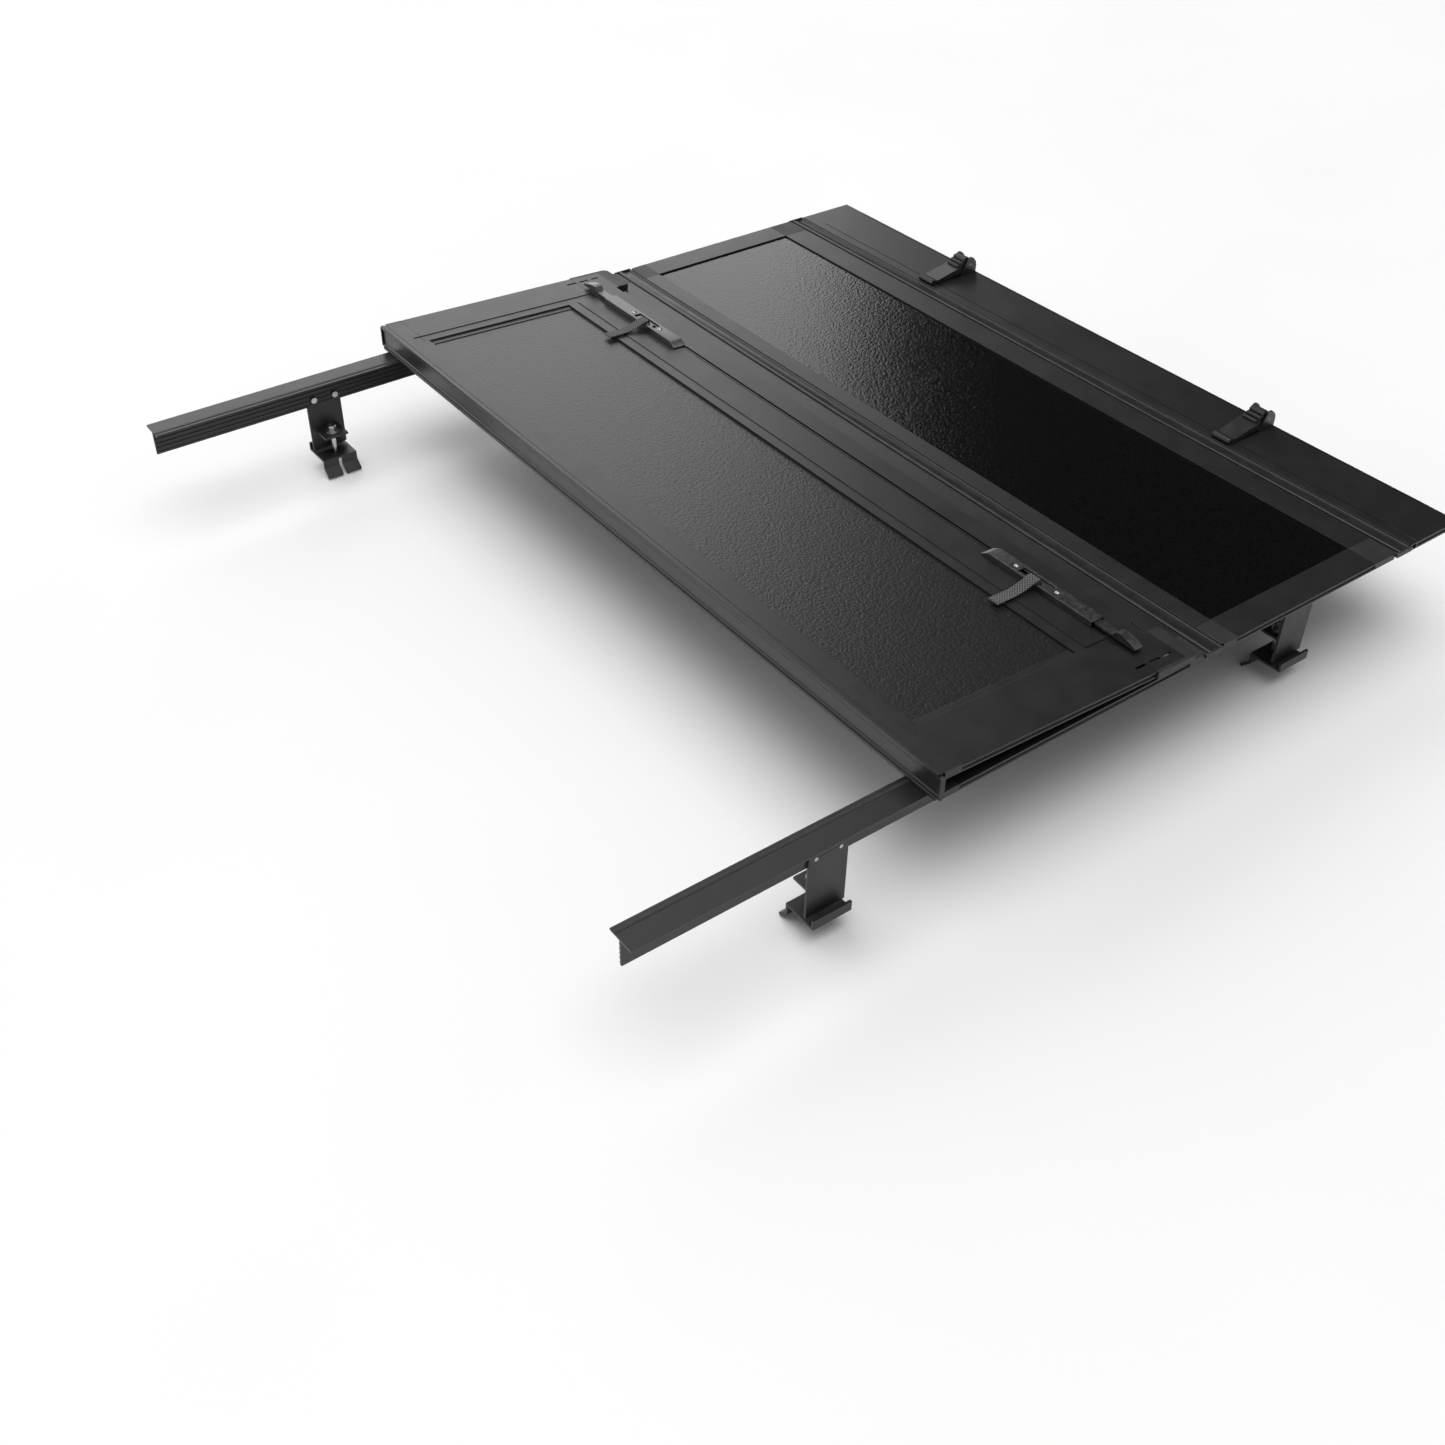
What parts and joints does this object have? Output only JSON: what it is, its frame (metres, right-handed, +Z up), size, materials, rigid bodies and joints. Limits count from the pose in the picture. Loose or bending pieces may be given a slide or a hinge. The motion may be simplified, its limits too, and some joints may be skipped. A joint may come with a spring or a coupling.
{
  "type": "folding tonneau cover",
  "caption": "Hard folding tonneau cover for a short pickup bed: rails, cab-end deck and hinged panels, the rear one folded back, with tail latches, stow hooks and bed clamps.",
  "frame": {"origin": "centre of the front rail's seat, on the underside of that rail, where it lies on the bed's front wall", "axes": "+X to the right across the bed (seen from the tailgate), +Y forward to the cab, +Z up"},
  "size_m": [1.492, 1.536, 0.2152],
  "materials": {
    "frame_black": "satin black powder coat on extruded aluminium",
    "panel_skin": "pebble-grained black fibreglass-reinforced sheet",
    "hinge_strip": "smooth black hinge strip",
    "moulded_black": "fine-textured black moulding",
    "seal_rubber": "soft black seal",
    "key_aluminium": "mill-finish aluminium",
    "latch_steel": "dark zinc-plated steel",
    "bright_steel": "bright zinc-plated steel",
    "clamp_black": "black-coated steel",
    "strap_webbing": "woven grey-black webbing"
  },
  "bodies": {
    "frame": {"left_side_rail": "frame_black", "right_side_rail": "frame_black", "left_rail_seal": "seal_rubber", "right_rail_seal": "seal_rubber", "front_rail": "frame_black", "rail_corner_brackets": "key_aluminium", "rail_bracket_screws": "bright_steel", "deck_plate": "frame_black", "deck_hinge_member": "frame_black", "deck_side_pieces": "frame_black", "deck_screws": "bright_steel", "hook_bases": "moulded_black", "hook_pins": "bright_steel", "hook_screws": "bright_steel", "clamp_plates": "clamp_black", "clamp_screws": "bright_steel", "clamp_bolts": "bright_steel", "clamp_washers": "bright_steel"},
    "front_link": {"front_hinge_link": "hinge_strip", "front_link_end_caps": "moulded_black"},
    "front_panel": {"front_panel_skin": "panel_skin", "front_panel_side_members": "frame_black", "front_panel_cross_members": "frame_black", "front_panel_corner_keys": "key_aluminium", "front_panel_corner_blocks": "moulded_black"},
    "middle_link": {"middle_hinge_link": "hinge_strip", "middle_link_end_caps": "moulded_black"},
    "middle_panel": {"middle_panel_skin": "panel_skin", "middle_panel_side_members": "frame_black", "middle_panel_cross_members": "frame_black", "middle_panel_corner_keys": "key_aluminium", "middle_panel_corner_blocks": "moulded_black"},
    "rear_link": {"rear_hinge_link": "hinge_strip", "rear_link_end_caps": "moulded_black"},
    "rear_panel": {"rear_panel_skin": "panel_skin", "rear_panel_side_members": "frame_black", "rear_panel_hinge_member": "frame_black", "rear_panel_tail_member": "frame_black", "rear_panel_corner_keys": "key_aluminium", "rear_panel_end_caps": "moulded_black", "tail_corner_caps": "moulded_black", "tail_seal": "seal_rubber", "latch_housings": "latch_steel", "latch_rivets": "bright_steel", "left_latch_spring": "bright_steel", "right_latch_spring": "bright_steel"},
    "left_latch": {"left_latch_bolt": "latch_steel", "left_latch_strap": "strap_webbing"},
    "right_latch": {"right_latch_bolt": "latch_steel", "right_latch_strap": "strap_webbing"},
    "left_hook": {"left_stow_hook": "moulded_black"},
    "right_hook": {"right_stow_hook": "moulded_black"},
    "left_rear_jaw": {"left_rear_clamp_jaw": "clamp_black", "left_rear_clamp_nut": "clamp_black"},
    "right_rear_jaw": {"right_rear_clamp_jaw": "clamp_black", "right_rear_clamp_nut": "clamp_black"},
    "left_front_jaw": {"left_front_clamp_jaw": "clamp_black", "left_front_clamp_nut": "clamp_black"},
    "right_front_jaw": {"right_front_clamp_jaw": "clamp_black", "right_front_clamp_nut": "clamp_black"}
  },
  "joints": [
    {"name": "front_link_fold", "type": "hinge", "parent": "frame", "child": "front_link", "pos_m": [0, -0.102, 0.0115], "axis": [-1, 0, 0], "range_deg": [0, 45]},
    {"name": "front_panel_fold", "type": "hinge", "parent": "front_link", "child": "front_panel", "pos_m": [0, -0.133, 0.0115], "axis": [-1, 0, 0], "range_deg": [0, 45]},
    {"name": "middle_link_fold", "type": "hinge", "parent": "front_panel", "child": "middle_link", "pos_m": [0, -0.532, 0.0115], "axis": [1, 0, 0], "range_deg": [-86, 0]},
    {"name": "middle_panel_fold", "type": "hinge", "parent": "middle_link", "child": "middle_panel", "pos_m": [0, -0.563, 0.0115], "axis": [1, 0, 0], "range_deg": [-86, 0]},
    {"name": "rear_link_fold", "type": "hinge", "parent": "middle_panel", "child": "rear_link", "pos_m": [0, -1.063, 0.0115], "axis": [1, 0, 0], "range_deg": [0, 90]},
    {"name": "rear_panel_fold", "type": "hinge", "parent": "rear_link", "child": "rear_panel", "pos_m": [0, -1.063, 0.0425], "axis": [1, 0, 0], "range_deg": [0, 92.55]},
    {"name": "left_latch_slide", "type": "slide", "parent": "rear_panel", "child": "left_latch", "axis": [1, 0, 0], "range_m": [0, 0.018], "stiffness_N_per_m": 300, "springref_m": -0.02, "deforming": ["left_latch_spring"]},
    {"name": "right_latch_slide", "type": "slide", "parent": "rear_panel", "child": "right_latch", "axis": [-1, 0, 0], "range_m": [0, 0.018], "stiffness_N_per_m": 300, "springref_m": -0.02, "deforming": ["right_latch_spring"]},
    {"name": "left_hook_swing", "type": "hinge", "parent": "frame", "child": "left_hook", "pos_m": [-0.366, 0.002, 0.033], "axis": [-1, 0, 0], "range_deg": [0, 95]},
    {"name": "right_hook_swing", "type": "hinge", "parent": "frame", "child": "right_hook", "pos_m": [0.366, 0.002, 0.033], "axis": [-1, 0, 0], "range_deg": [0, 95]},
    {"name": "left_rear_jaw_slide", "type": "slide", "parent": "frame", "child": "left_rear_jaw", "axis": [0, 0, -1], "range_m": [0, 0.012]},
    {"name": "right_rear_jaw_slide", "type": "slide", "parent": "frame", "child": "right_rear_jaw", "axis": [0, 0, -1], "range_m": [0, 0.012]},
    {"name": "left_front_jaw_slide", "type": "slide", "parent": "frame", "child": "left_front_jaw", "axis": [0, 0, -1], "range_m": [0, 0.012]},
    {"name": "right_front_jaw_slide", "type": "slide", "parent": "frame", "child": "right_front_jaw", "axis": [0, 0, -1], "range_m": [0, 0.012]}
  ],
  "couplings": [
    {"joint": "front_panel_fold", "follows": "front_link_fold", "ratio": 1},
    {"joint": "middle_panel_fold", "follows": "middle_link_fold", "ratio": 1},
    {"joint": "rear_panel_fold", "follows": "rear_link_fold", "ratio": 1.0283}
  ]
}
